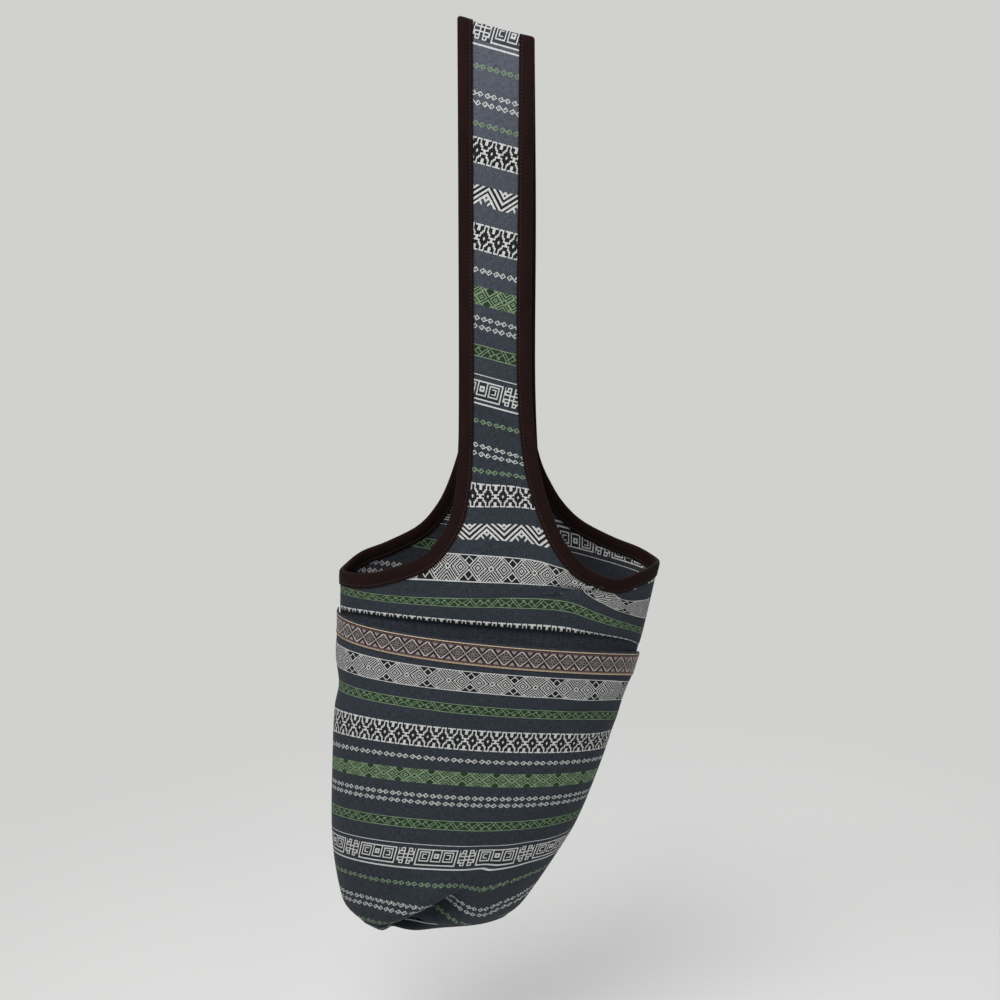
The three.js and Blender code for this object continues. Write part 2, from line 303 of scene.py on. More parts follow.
BARE_SWING = 4.0  # half the height of plain ground used there


def front_slant(across, place):
    rise, *drops = read_curve(FRONT_SLANT, place)
    if across < 0:
        return -rise * across ** 2
    return read_curve([(0, 0.0), *zip((0.3, 0.45, 0.6, 0.75, 1), drops)], across)[0]


skin_across = [running_length(row, COLUMNS // 2) for row in skin_rows]
down_front = [-d / MM for d in running_length([row[COLUMNS // 2] for row in skin_rows], FOLD_ROW)]
PRINT_AT += [(down_front[TUCK_ROW] - 3.0, 591.3), (down_front[TUCK_ROW], 594.8)]
skin_marks = []
for j, down in enumerate(down_front):
    lean = read_curve(PRINT_LEAN, abs(down))[0] * MM
    if j < TUCK_ROW:
        bare = BARE + BARE_SWING * MM * math.sin(down / BARE_SWING)
        skin_marks.append([(u, bare) for u in skin_across[j]])
    elif j <= FOLD_ROW:
        place = read_curve(PRINT_AT, down)[0]
        skin_marks.append([
            (u + lean, (place - front_slant(s, place)) * MM)
            for u, s in zip(skin_across[j], across_cloth)
        ])
    else:
        skin_marks.append([(u - lean, down * MM) for u in skin_across[j]])


class Field:
    """A number that changes over the cloth, worked out by Math nodes in one node tree."""

    def __init__(self, tree, socket):
        self.tree = tree
        self.socket = socket

    def math(self, operation, *others):
        node = self.tree.nodes.new("ShaderNodeMath")
        node.operation = operation
        for inlet, value in zip(node.inputs, (self, *others)):
            if isinstance(value, Field):
                self.tree.links.new(value.socket, inlet)
            else:
                inlet.default_value = value
        return Field(self.tree, node.outputs[0])

    def __add__(self, other):
        return self.math("ADD", other)

    def __sub__(self, other):
        return self.math("SUBTRACT", other)

    def __rsub__(self, other):
        return self.math("MULTIPLY", -1.0).math("ADD", other)

    def __mul__(self, other):
        return self.math("MULTIPLY", other)

    def __abs__(self):
        return self.math("ABSOLUTE")

    def __and__(self, other):
        return self.math("MULTIPLY", other)

    def __or__(self, other):
        return self.math("MAXIMUM", other)

    def __lt__(self, other):
        return self.math("LESS_THAN", other)

    def __gt__(self, other):
        return self.math("GREATER_THAN", other)

    def near(self, centre, half_width):
        return self.math("COMPARE", centre, half_width)

    def outside(self):
        return self.math("LESS_THAN", 0.5)

    def repeat(self, pitch):
        return self.math("WRAP", pitch / 2, -pitch / 2)

    def nearest(self, centres, pitch):
        """The signed distance to the nearest of several lines, over and over at a pitch."""
        best = (self - centres[0]).repeat(pitch)
        for centre in centres[1:]:
            other = (self - centre).repeat(pitch)
            closer = abs(other) < abs(best)
            best = best + closer * (other - best)
        return best


PRINT_REPEAT = 743.0


def scrolls(u, y, flip):
    """Small squared S-scrolls in a row, their middle strokes rising or falling."""
    x = u.repeat(12.6)
    reach = abs(x)
    lift = y * x.math("SIGN") * flip
    ring = (abs(reach - 2.95) + abs(y)).near(2.35, 0.52)
    kept = (reach > 2.95) | ((reach > 1.3) & (lift > 0.0))
    stroke = (y * flip + x * 0.8).near(0.0, 0.62) & (reach < 3.0)
    hook = lift.near(0.35, 0.45) & reach.near(2.2, 0.8)
    return (ring & kept) | stroke | hook


def stepped_crosses(u, y):
    """Dark stepped crosses in white outlines, with a tee at each edge between them."""
    x = abs((u + 0.1).repeat(13.6))
    y = abs(y)
    cross = ((x < 3.5) & (y < 4.2)) | ((x < 2.2) & (y < 6.0)) | ((x < 5.7) & (y < 1.2))
    cross = cross | ((x < 1.1) & (y < 11.2))
    outline = ((x < 4.6) & (y < 5.6)) | ((x < 3.3) & (y < 7.4)) | (x < 2.2) | (y < 2.6)
    seed = (x + y * 0.5) < 1.05
    tee_x = 6.8 - x
    tee = ((tee_x < 3.5) & (y > 11.3)) | ((tee_x < 1.25) & (y > 6.6))
    return ((outline & cross.outside()) | seed | tee) & (y < 12.7)


def lozenges(u, y, pitch, height, centre, far):
    """Nested diamonds in pairs, with combs beside them and crossing lines between the pairs."""
    x = abs(u.repeat(pitch)) * (2 * far / pitch)
    y = abs(y) * (4.0 / height)
    ring = abs(x - centre) + y
    first = x - y
    second = far - x - y
    diamond = (ring < centre - 0.2) & (ring - 0.5).repeat(1.0).near(0.0, 0.2)
    arms = abs(first).near(0.5, 0.2) | abs(second).near(0.5, 0.2)
    beside = (first > 0.0) & (second > 1.2) & (ring > centre - 0.25)
    combs = (first - 0.5).repeat(1.0).near(0.0, 0.2) & beside
    block = (x + abs(y - 2.05)).near(1.45, 0.2) & (first < -0.7)
    vees = (second - 0.5).repeat(1.0).near(0.0, 0.2) & (second < -0.7)
    knot = far - x + y
    return ((diamond | arms | combs | block | vees) & (knot > 1.2)) | knot.near(0.82, 0.26), y


def slanting_band(u, y):
    """Pairs of slanting lines between two border lines, and a bow between each two pairs."""
    x = u.repeat(39.0)
    lean = abs(x) - y * 0.8
    borders = abs(y).near(5.1, 0.36)
    pairs = abs(lean - 9.75).near(1.5, 0.4)
    far = (abs(x) > 9.75) * 1.0
    bow_x = abs(abs(x) - far * 19.5)
    lift = y * (far * -2.0 + 1.0)
    bow = (bow_x * 0.8 - abs(lift)).near(0.4, 0.45) & (abs(lift) < 2.9)
    foot = lift.near(3.1, 0.38) & bow_x.near(3.6, 1.6)
    leaf = (bow_x + lift * 0.9).near(5.6, 0.42) & (abs(lift) < 2.6)
    return borders | ((pairs | bow | foot | leaf) & (abs(y) < 5.1)), abs(y) < 5.4


def key_band(u, y):
    """Squared keys hung in frames, with a knot of crossing loops between two frames."""
    x = abs((u + 38.0).repeat(56.0))
    rules = y.near(-14.0, 0.34) | y.near(13.8, 0.85)
    frame_box = x.near(17.9, 0.6) & y.near(0.2, 9.4)
    frame_box = frame_box | ((x < 18.5) & (y.near(-8.7, 0.65) | y.near(9.1, 0.75)))
    frame_box = frame_box | (x.near(20.6, 0.3) & y.near(-1.5, 7.6))
    cell = (x.near(4.1, 0.5) & y.near(-2.0, 6.8)) | ((x < 4.6) & y.near(4.5, 0.6))
    seed = x.math("MAXIMUM", abs(y + 1.9) * 0.8).near(1.5, 0.72)
    key_x = x - 10.9
    key_y = y + 0.9
    ring = (abs(key_x) * 1.3).math("MAXIMUM", abs(key_y)).near(5.3, 0.65)
    curl = key_x.near(1.6, 0.5) & key_y.near(-0.3, 2.9)
    curl = curl | (abs(key_y + 0.3).near(2.4, 0.5) & key_x.near(-0.1, 1.9))
    knot_x = 28.0 - x
    rise = abs(y + 0.2)
    knot = (knot_x.near(1.9, 0.55) & (rise < 9.4)) | (rise.near(2.1, 0.6) & (knot_x < 6.6))
    knot = knot | (rise.near(8.8, 0.6) & knot_x.near(3.4, 1.6))
    knot = knot | (knot_x.near(4.9, 0.55) & rise.near(7.4, 1.5))
    knot = knot | (rise.near(5.4, 0.6) & knot_x.near(4.2, 2.4))
    knot = knot | (knot_x.near(6.5, 0.55) & rise.near(3.8, 2.0))
    return rules | frame_box | cell | seed | ring | curl | knot


def zigzags(u, y):
    """Nested zigzag lines, with a small diamond in each point and two feet under each peak."""
    x = abs((u - 1.9).repeat(31.0))
    valley_x = 15.5 - x
    climb = y - x * 1.17
    lines = climb.near(-8.0, 1.5) | climb.near(-2.3, 1.5)
    lines = lines | climb.near(-14.8, 1.5) | climb.near(-21.2, 1.5)
    low = x + abs(y - 1.2) * 0.8
    high = valley_x + abs(y + 5.6) * 0.8
    feet = (y + x * 1.3).near(11.2, 1.3) & x.near(4.3, 1.7) & (y > 2.0)
    marks = (lines | (low < 3.5) | (high < 3.5) | feet) & (low > 1.25) & (high > 1.25)
    return marks & (abs(y) < 9.5), climb.near(-11.5, 12.0) & (abs(y) < 9.3)


woven_bands = bpy.data.node_groups.new("woven_bands", "ShaderNodeTree")
woven_bands.interface.new_socket("Cloth", in_out="INPUT", socket_type="NodeSocketVector")
for mask in ("White", "Green", "Dark", "Black"):
    woven_bands.interface.new_socket(mask, in_out="OUTPUT", socket_type="NodeSocketFloat")
bands_in = woven_bands.nodes.new("NodeGroupInput")
bands_out = woven_bands.nodes.new("NodeGroupOutput")
split = woven_bands.nodes.new("ShaderNodeSeparateXYZ")
woven_bands.links.new(bands_in.outputs["Cloth"], split.inputs[0])
weft = Field(woven_bands, split.outputs["X"]) * 1000.0
warp = Field(woven_bands, split.outputs["Y"]) * 1000.0
key_y = warp.nearest((5.0, 340.0), PRINT_REPEAT)
keys = key_band(weft, key_y)
cross_y = warp.nearest((117.0, 198.0, 452.0, 604.0), PRINT_REPEAT)
crosses = stepped_crosses(weft, cross_y)
points, between_points = zigzags(weft, warp.nearest((160.0, 495.0), PRINT_REPEAT))
upper_row = scrolls(weft, warp.nearest((64.7, 273.3, 399.7, 675.7), PRINT_REPEAT), 1.0)
lower_row = scrolls(weft, warp.nearest((73.3, 230.0, 281.9, 408.3, 630.0, 684.3), PRINT_REPEAT), -1.0)
green_upper = scrolls(weft + 4.0, warp.nearest((38.0, 373.0), PRINT_REPEAT), 1.0)
green_lower = scrolls(weft + 4.0, warp.nearest((92.0, 427.0), PRINT_REPEAT), -1.0)
wide_net, wide_y = lozenges(weft + 1.0, warp.nearest((533.0,), PRINT_REPEAT), 39.0, 12.4, 3.0, 7.5)
wide_net = (wide_net & (wide_y < 3.85)) | wide_y.near(4.0, 0.14)
green_net, net_y = lozenges(weft, warp.nearest((251.5, 652.5), PRINT_REPEAT), 29.5, 12.6, 2.0, 4.5)
slant_lines, slant_field = slanting_band(weft, warp.nearest((305.0, 568.0, 711.0), PRINT_REPEAT))
white = keys | crosses | points | upper_row | lower_row | wide_net
green = green_upper | green_lower | (green_net & (net_y < 2.6)) | slant_lines
dark = slant_field | (net_y < 2.65)
black = (wide_y < 4.1) | (abs(cross_y) < 12.3) | between_points | (abs(key_y) < 9.8) * 0.6
for mask, name in ((white, "White"), (green, "Green"), (dark, "Dark"), (black, "Black")):
    woven_bands.links.new(mask.socket, bands_out.inputs[name])

# Plain weave: crossing threads whose dye and thickness vary from thread to thread
plain_weave = bpy.data.node_groups.new("plain_weave", "ShaderNodeTree")
plain_weave.interface.new_socket("Cloth", in_out="INPUT", socket_type="NodeSocketVector")
plain_weave.interface.new_socket("Threads per metre", in_out="INPUT", socket_type="NodeSocketFloat")
plain_weave.interface.new_socket("Flecks", in_out="OUTPUT", socket_type="NodeSocketFloat")
plain_weave.interface.new_socket("Height", in_out="OUTPUT", socket_type="NodeSocketFloat")
weave_in = plain_weave.nodes.new("NodeGroupInput")
weave_out = plain_weave.nodes.new("NodeGroupOutput")


def streaks(tree, source, across_scale, along_scale, detail):
    """Noise drawn out along one thread direction."""
    stretch = tree.nodes.new("ShaderNodeMapping")
    stretch.inputs["Scale"].default_value = (across_scale, along_scale, 1)
    tree.links.new(source, stretch.inputs["Vector"])
    noise = tree.nodes.new("ShaderNodeTexNoise")
    noise.inputs["Scale"].default_value = 1.0
    noise.inputs["Detail"].default_value = detail
    tree.links.new(stretch.outputs[0], noise.inputs["Vector"])
    return Field(tree, noise.outputs["Fac"])


warp_streaks = streaks(plain_weave, weave_in.outputs["Cloth"], 1300, 160, 2)
weft_streaks = streaks(plain_weave, weave_in.outputs["Cloth"], 160, 1300, 2)
threads = plain_weave.nodes.new("ShaderNodeSeparateXYZ")
plain_weave.links.new(weave_in.outputs["Cloth"], threads.inputs[0])
count = Field(plain_weave, weave_in.outputs["Threads per metre"]) * (2 * math.pi)
over = (Field(plain_weave, threads.outputs["X"]) * count).math("SINE")
under = (Field(plain_weave, threads.outputs["Y"]) * count).math("SINE")
flecks = (warp_streaks + weft_streaks) * 0.5
height = over * under * 0.5 + flecks * 1.2
plain_weave.links.new(flecks.socket, weave_out.inputs["Flecks"])
plain_weave.links.new(height.socket, weave_out.inputs["Height"])


def srgb(red, green, blue):
    """A colour as seen, 0 to 255, as the shader's linear colour."""
    return tuple(((c / 255 + 0.055) / 1.055) ** 2.4 for c in (red, green, blue)) + (1.0,)


def mix_colours(tree, mask, under_colour, over_colour):
    mixer = tree.nodes.new("ShaderNodeMix")
    mixer.data_type = "RGBA"
    inlets = (mixer.inputs[0], mixer.inputs[6], mixer.inputs[7])
    for value, inlet in zip((mask, under_colour, over_colour), inlets):
        if isinstance(value, tuple):
            inlet.default_value = value
        else:
            tree.links.new(value, inlet)
    return mixer.outputs[2]


def printed_canvas(name, light_ground, dark_ground):
    """Grey-blue cotton canvas with woven bands in off-white and two greens."""
    material = bpy.data.materials.new(name)
    material.use_nodes = True
    tree = material.node_tree
    shader = tree.nodes["Principled BSDF"]
    flat = tree.nodes.new("ShaderNodeUVMap")
    flat.uv_map = "cloth"
    bands = tree.nodes.new("ShaderNodeGroup")
    bands.node_tree = woven_bands
    tree.links.new(flat.outputs[0], bands.inputs["Cloth"])
    place = tree.nodes.new("ShaderNodeTexCoord")
    weave = tree.nodes.new("ShaderNodeGroup")
    weave.node_tree = plain_weave
    weave.inputs["Threads per metre"].default_value = 900
    tree.links.new(flat.outputs[0], weave.inputs["Cloth"])
    spread = tree.nodes.new("ShaderNodeMapRange")
    spread.inputs["From Min"].default_value = 0.36
    spread.inputs["From Max"].default_value = 0.64
    tree.links.new(weave.outputs["Flecks"], spread.inputs["Value"])
    patches = tree.nodes.new("ShaderNodeTexNoise")
    patches.inputs["Scale"].default_value = 9
    patches.inputs["Detail"].default_value = 3
    tree.links.new(place.outputs["Object"], patches.inputs["Vector"])
    # The ground turns paler with height, up the strap towards its top.
    heights = tree.nodes.new("ShaderNodeSeparateXYZ")
    tree.links.new(place.outputs["Object"], heights.inputs[0])
    paler_share = tree.nodes.new("ShaderNodeMapRange")
    paler_share.inputs["From Min"].default_value = -0.34
    paler_share.inputs["From Max"].default_value = -0.03
    tree.links.new(heights.outputs["Z"], paler_share.inputs["Value"])
    ground = mix_colours(tree, spread.outputs[0], dark_ground, light_ground)
    paler_ground = mix_colours(tree, spread.outputs[0], srgb(58, 61, 69), srgb(86, 90, 100))
    ground = mix_colours(tree, paler_share.outputs[0], ground, paler_ground)
    ground = mix_colours(tree, bands.outputs["Black"], ground, srgb(26, 28, 29))
    field = mix_colours(tree, spread.outputs[0], srgb(28, 42, 30), srgb(38, 55, 40))
    ground = mix_colours(tree, bands.outputs["Dark"], ground, field)
    leaf = mix_colours(tree, spread.outputs[0], srgb(92, 114, 86), srgb(124, 144, 114))
    ground = mix_colours(tree, bands.outputs["Green"], ground, leaf)
    ink = mix_colours(tree, spread.outputs[0], srgb(166, 167, 165), srgb(192, 193, 191))
    colour = mix_colours(tree, bands.outputs["White"], ground, ink)
    wear = Field(tree, patches.outputs["Fac"]) * 0.3 + 0.85
    worn = tree.nodes.new("ShaderNodeVectorMath")
    worn.operation = "SCALE"
    tree.links.new(colour, worn.inputs[0])
    tree.links.new(wear.socket, worn.inputs["Scale"])
    tree.links.new(worn.outputs[0], shader.inputs["Base Color"])
    rough = Field(tree, weave.outputs["Flecks"]) * 0.25 + 0.72
    tree.links.new(rough.socket, shader.inputs["Roughness"])
    shader.inputs["Specular IOR Level"].default_value = 0.1
    shader.inputs["Sheen Weight"].default_value = 0.03
    shader.inputs["Sheen Roughness"].default_value = 0.5
    bump = tree.nodes.new("ShaderNodeBump")
    bump.inputs["Strength"].default_value = 0.35
    bump.inputs["Distance"].default_value = 0.0003
    tree.links.new(weave.outputs["Height"], bump.inputs["Height"])
    tree.links.new(bump.outputs[0], shader.inputs["Normal"])
    return material


CANVAS_THICK = 0.9
LAYER_GAP = 0.15  # half the gap between the skin and its lining
printed_cotton = printed_canvas("printed_cotton", srgb(51, 57, 64), srgb(28, 32, 38))
outer_bm = cloth_grid(skin_rows, skin_marks)
skin_tree = BVHTree.FromBMesh(outer_bm)
push_out(outer_bm, LAYER_GAP * MM)
outer_panel = finish_piece("outer_cloth", outer_bm, printed_cotton)
give_thickness(outer_panel, CANVAS_THICK * MM)
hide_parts("outer_panel")

# The lining: a second layer of the same cotton, cut to the skin's shape with its print the other
# way up, laid wrong side to wrong side and caught with it in the seams and bindings.
lining_cotton = printed_canvas("lining_cotton", srgb(55, 58, 65), srgb(31, 33, 38))
LINING_START = 1198.25  # places the print so that a band of keys runs under the back of the mouth
LINING_SLANT = 0.225  # the print falls to the right
lining_marks = [
    [(u, (LINING_START + p.z / MM + LINING_SLANT * p.x / MM) * MM) for u, p in zip(us, row)]
    for us, row in zip(skin_across, skin_rows)
]
lining_bm = cloth_grid(skin_rows, lining_marks)
bmesh.ops.reverse_faces(lining_bm, faces=lining_bm.faces)
push_out(lining_bm, LAYER_GAP * MM)
lining_panel = finish_piece("lining_cloth", lining_bm, lining_cotton)
give_thickness(lining_panel, CANVAS_THICK * MM)
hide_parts("lining_panel")

# The bindings: a folded tape of dark brown cotton twill over each raw edge, right round the left
# and the right armhole and along both edges of the strap, sewn through with a line of stitches.
TAPE_SECTION = [  # from the edge into the cloth, out from the middle of the cloth
    (12.2, 1.12), (12.3, 2.0), (11.6, 2.25), (10.3, 2.2), (9.7, 1.95), (9.1, 2.2), (5, 2.35),
    (1, 2.25), (-0.8, 1.5), (-1.4, 0), (-0.8, -1.5), (1, -2.25), (5, -2.35), (9.1, -2.2),
    (9.7, -1.95), (10.3, -2.2), (11.6, -2.25), (12.3, -2.0), (12.2, -1.12), (1, -1.12), (-0.3, 0),
    (1, 1.12), (12.2, 1.12),
]
STITCH_LINE, STITCH_OFF = 9.7, 2.05
STITCH_PITCH, STITCH_LENGTH, STITCH_THICK = 3.4, 2.2, 0.8


def edge_frames(column):
    """Round one bound edge: each point, the way into the cloth and the way out of it."""
    rows = skin_rows[MOUTH_ROW:len(skin_rows) - MOUTH_ROW]
    points = [row[column] for row in rows][:-1]
    total = len(points)
    tangents = [(points[(k + 1) % total] - points[k - 1]).normalized() for k in range(total)]
    faces_out = [skin_tree.find_nearest(p)[1] for p in points]
    frames = []
    for k in range(total):
        out = sum((faces_out[(k + d) % total] for d in (-1, 0, 1)), Vector()).normalized()
        into = tangents[k].cross(out) if column == 0 else out.cross(tangents[k])
        frames.append((points[k], into.normalized(), out))
    return frames


def on_edge(edge_frame, into_cloth, off_cloth):
    point, into, out = edge_frame
    if into_cloth <= 0:
        return point + into * into_cloth * MM + out * off_cloth * MM
    place, normal = skin_tree.find_nearest(point + into * into_cloth * MM)[:2]
    return place + normal * off_cloth * MM


def along_path(path, pitch):
    """Points and directions at even steps along a closed path."""
    closed = path + path[:1]
    lengths = running_length(closed, 0)
    steps = max(1, round(lengths[-1] / pitch))
    k = 0
    for step in range(steps):
        want = lengths[-1] * (step + 0.5) / steps
        while lengths[k + 1] < want:
            k += 1
        run = closed[k + 1] - closed[k]
        yield closed[k] + run * ((want - lengths[k]) / run.length), run.normalized()


stitch_shape = bmesh.new()
bmesh.ops.create_uvsphere(stitch_shape, u_segments=6, v_segments=4, radius=0.5)
stitch_shape.verts.index_update()


def sew(bm, place, run, length, thick):
    """One stitch: a short round-ended length of thread lying along its seam."""
    turn = Vector((0, 0, 1)).rotation_difference(run).to_matrix()
    verts = []
    for vert in stitch_shape.verts:
        shaped = Vector((vert.co.x * thick, vert.co.y * thick, vert.co.z * length))
        verts.append(bm.verts.new(turn @ shaped + place))
    for face in stitch_shape.faces:
        bm.faces.new([verts[v.index] for v in face.verts])


def spun_thread(name, colour, pale):
    """Sewing thread: dark cotton with a fine, uneven twist."""
    material = bpy.data.materials.new(name)
    material.use_nodes = True
    tree = material.node_tree
    shader = tree.nodes["Principled BSDF"]
    place = tree.nodes.new("ShaderNodeTexCoord")
    ply = tree.nodes.new("ShaderNodeTexNoise")
    ply.inputs["Scale"].default_value = 1600
    ply.inputs["Detail"].default_value = 1
    tree.links.new(place.outputs["Object"], ply.inputs["Vector"])
    tree.links.new(mix_colours(tree, ply.outputs["Fac"], colour, pale), shader.inputs["Base Color"])
    shader.inputs["Roughness"].default_value = 0.7
    bump = tree.nodes.new("ShaderNodeBump")
    bump.inputs["Strength"].default_value = 0.4
    bump.inputs["Distance"].default_value = 0.0002
    tree.links.new(ply.outputs["Fac"], bump.inputs["Height"])
    tree.links.new(bump.outputs[0], shader.inputs["Normal"])
    return material


def twill_tape(name, deep, light):
    """Brown cotton twill: fine slanting ridges, a soft nap and paler worn patches."""
    material = bpy.data.materials.new(name)
    material.use_nodes = True
    tree = material.node_tree
    shader = tree.nodes["Principled BSDF"]
    flat = tree.nodes.new("ShaderNodeUVMap")
    flat.uv_map = "cloth"
    split = tree.nodes.new("ShaderNodeSeparateXYZ")
    tree.links.new(flat.outputs[0], split.inputs[0])
    slope = Field(tree, split.outputs["X"]) + Field(tree, split.outputs["Y"]) * 0.7
    ridges = (slope * (2 * math.pi / 0.0011)).math("SINE") * 0.5 + 0.5
    nap = streaks(tree, flat.outputs[0], 900, 900, 3)
    patches = streaks(tree, flat.outputs[0], 60, 25, 3)
    tone = nap * 0.5 + patches * 0.5 + ridges * 0.15
    spread = tree.nodes.new("ShaderNodeMapRange")
    spread.inputs["From Min"].default_value = 0.4
    spread.inputs["From Max"].default_value = 0.75
    tree.links.new(tone.socket, spread.inputs["Value"])
    tree.links.new(mix_colours(tree, spread.outputs[0], deep, light), shader.inputs["Base Color"])
    tree.links.new((nap * 0.2 + 0.72).socket, shader.inputs["Roughness"])
    shader.inputs["Specular IOR Level"].default_value = 0.05
    shader.inputs["Sheen Weight"].default_value = 0.01
    shader.inputs["Sheen Roughness"].default_value = 0.6
    bump = tree.nodes.new("ShaderNodeBump")
    bump.inputs["Strength"].default_value = 0.4
    bump.inputs["Distance"].default_value = 0.0003
    tree.links.new((ridges * 0.6 + nap).socket, bump.inputs["Height"])
    tree.links.new(bump.outputs[0], shader.inputs["Normal"])
    return material


binding_tape = twill_tape("binding_tape", srgb(18, 8, 8), srgb(33, 17, 16))
dark_thread = spun_thread("dark_thread", srgb(8, 4, 4), srgb(20, 12, 12))
for hand, column in (("left", 0), ("right", COLUMNS)):
    frames = edge_frames(column)
    frames = frames + frames[:1]
    tape_rows = [[on_edge(f, into, off) for into, off in TAPE_SECTION] for f in frames]
    girth = running_length(tape_rows[len(tape_rows) // 3], 0)
    travel = running_length([f[0] for f in frames], 0)
    tape_bm = cloth_grid(tape_rows, [[(g, t) for g in girth] for t in travel])
    bmesh.ops.recalc_face_normals(tape_bm, faces=tape_bm.faces)
    binding = finish_piece(f"{hand}_tape", tape_bm, binding_tape)
    stitch_bm = bmesh.new()
    for face_side in (-1, 1):
        seam = [on_edge(f, STITCH_LINE, face_side * STITCH_OFF) for f in frames[:-1]]
        for place, run in along_path(seam, STITCH_PITCH * MM):
            sew(stitch_bm, place, run, STITCH_LENGTH * MM, STITCH_THICK * MM)
    stitches = finish_piece(f"{hand}_tape_stitches", stitch_bm, dark_thread)
    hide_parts(f"{hand}_binding")

# The front pocket: a second front of the same cotton, as wide as the bag and caught in its side
# seams and hem. It is cut longer at the left, and its open top edge stands away from the bag.
LIP_LEFT, LIP_MIDDLE, LIP_RIGHT = -524.0, -541.0, -566.0
POCKET_STAND, POCKET_EASE = 2.2, 10.0  # off the bag at the hem, and further at the lip
LIP_TURN = 7.0  # the plain strip along the lip
POCKET_DENTS = [  # x and z of both ends, width, depth: ripples of the slack under the ribbon
    (66, -598, 128, -584, 7, -2.4), (70, -616, 124, -604, 6, 0.9), (60, -634, 116, -624, 8, -2.0),
    (-40, -600, 30, -590, 12, -1.2),
]
POCKET_PRINT = [  # share of the height from the hem to the lip, place in the print
    (0, 841), (0.05, 826.5), (0.1827, 781), (0.2779, 748), (0.3901, 711), (0.473, 680),
    (0.548, 652.5), (0.6088, 630), (0.6773, 604), (0.778, 568), (0.8677, 533), (1, 486),
]
POCKET_SLANT = [  # place in the print, rise to the left, drop to the right
    (500, 0, 0), (533, -2.4, 6), (568, -6, 7), (604, -12.5, 0), (652, -19, 2.5), (680, -17.5, 0),
    (748, -12, -10), (835, -6, -6),
]
PLEAT_ROWS = [  # x, how far the pleat pulls the rows of the print on its right side up
    (-105, 19), (-78, 17), (-50, 8), (-33, -2), (-12, -13), (10, -6), (30, 0),
]
PULL_FROM, PULL_OVER = -745.0, 45.0  # the height at which the pull begins, and its rise to full
LAST_ROW = 846.5  # the plain ground at the hem
POCKET_SHIFT = -27.0  # the print's place across


def pulled_by_pleat(point):
    x, z = point.x / MM, point.z / MM
    right_of_it = 1 / (1 + math.exp(-beside_pleat(x, z)[1] / 1.5))
    return read_curve(PLEAT_ROWS, x)[0] * right_of_it * min(max((PULL_FROM - z) / PULL_OVER, 0), 1)


def slanted(table, across, key):
    rise, drop = read_curve(table, key)
    return drop * across ** 2 if across > 0 else -rise * across ** 2


def lip_height(across):
    level = blend(LIP_LEFT, LIP_RIGHT, (across + 1) / 2)
    return level + (LIP_MIDDLE - (LIP_LEFT + LIP_RIGHT) / 2) * (1 - across ** 2)


def on_pocket(across, share, off=0.0):
    """The pocket's middle surface: share is 0 at the hem and 1 at the lip."""
    z = blend(HEM_Z, lip_height(across), share)
    here = body_surface(-1, across, z)
    beside = body_surface(-1, across + 0.01, z) - body_surface(-1, across - 0.01, z)
    above = body_surface(-1, across, z + 1) - body_surface(-1, across, z - 1)
    out = beside.cross(above).normalized()
    swell = math.cos(across * math.pi / 2)
    stand = POCKET_STAND + POCKET_EASE * share ** 3 * swell ** 1.3
    return here + out * (stand + off - dent(POCKET_DENTS, here.x, z) * min(1, 2 * swell))


POCKET_ROWS = 96
pocket_shares = evenly(POCKET_ROWS)
pocket_rows = [[on_pocket(s, share) * MM for s in across_cloth] for share in pocket_shares]
pocket_marks = []
for share, row in zip(pocket_shares, pocket_rows):
    place = read_curve(POCKET_PRINT, share)[0]
    us = [length + POCKET_SHIFT * MM for length in running_length(row, COLUMNS // 2)]
    from_lip = (1 - share) * (LIP_MIDDLE - HEM_Z)
    if from_lip < LIP_TURN:
        pocket_marks.append([(u, BARE) for u in us])
    else:
        pocket_marks.append([
            (u, min(place - slanted(POCKET_SLANT, s, place) + pulled_by_pleat(point), LAST_ROW) * MM)
            for u, s, point in zip(us, across_cloth, row)
        ])
pocket_bm = cloth_grid(pocket_rows, pocket_marks)
front_pocket = finish_piece("pocket_cloth", pocket_bm, printed_cotton)
give_thickness(front_pocket, CANVAS_THICK * MM)
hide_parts("front_pocket")

# The ribbon: a band of black jacquard with pale flowers in crossed diamonds, sewn along both its
# edges to the pocket, just under the open lip.
RIBBON_WIDTH = 20.0
RIBBON_INSET = 1.6
RIBBON_ROWS = 10
RIBBON_OFF, RIBBON_THICK = 1.0, 0.6  # off the middle of the pocket's cloth
RIBBON_SEAM, RIBBON_SEAM_OFF = 0.9, 1.65  # its stitches, from its edges and off the same cloth
RIBBON_STITCH_LENGTH, RIBBON_STITCH_THICK = 2.0, 0.4


def on_ribbon(across, down, off):
    lip = lip_height(across)
    share = (lip - down - HEM_Z) / (lip - HEM_Z)
    return on_pocket(across, share, off) * MM


ribbon_steps = evenly(RIBBON_ROWS, RIBBON_INSET + RIBBON_WIDTH, RIBBON_INSET)
ribbon_rows = [[on_ribbon(s, down, RIBBON_OFF) for s in across_cloth] for down in ribbon_steps]
ribbon_marks = []
for down, row in zip(ribbon_steps, ribbon_rows):
    us = running_length(row, COLUMNS // 2)
    ribbon_marks.append([(u, (RIBBON_INSET + RIBBON_WIDTH / 2 - down) * MM) for u in us])
jacquard_ribbon = bpy.data.materials.new("jacquard_ribbon")
jacquard_ribbon.use_nodes = True
tree = jacquard_ribbon.node_tree
shader = tree.nodes["Principled BSDF"]
flat = tree.nodes.new("ShaderNodeUVMap")
flat.uv_map = "cloth"
split = tree.nodes.new("ShaderNodeSeparateXYZ")
tree.links.new(flat.outputs[0], split.inputs[0])
along = Field(tree, split.outputs["X"]) * 1000.0
x = abs(along.repeat(14.2))
y = Field(tree, split.outputs["Y"]) * 1000.0
rise = abs(y)
between_x = 7.1 - x
side_petal = (x - 2.6) * (x - 2.6) + rise * rise
top_petal = x * x + (rise - 2.6) * (rise - 2.6)
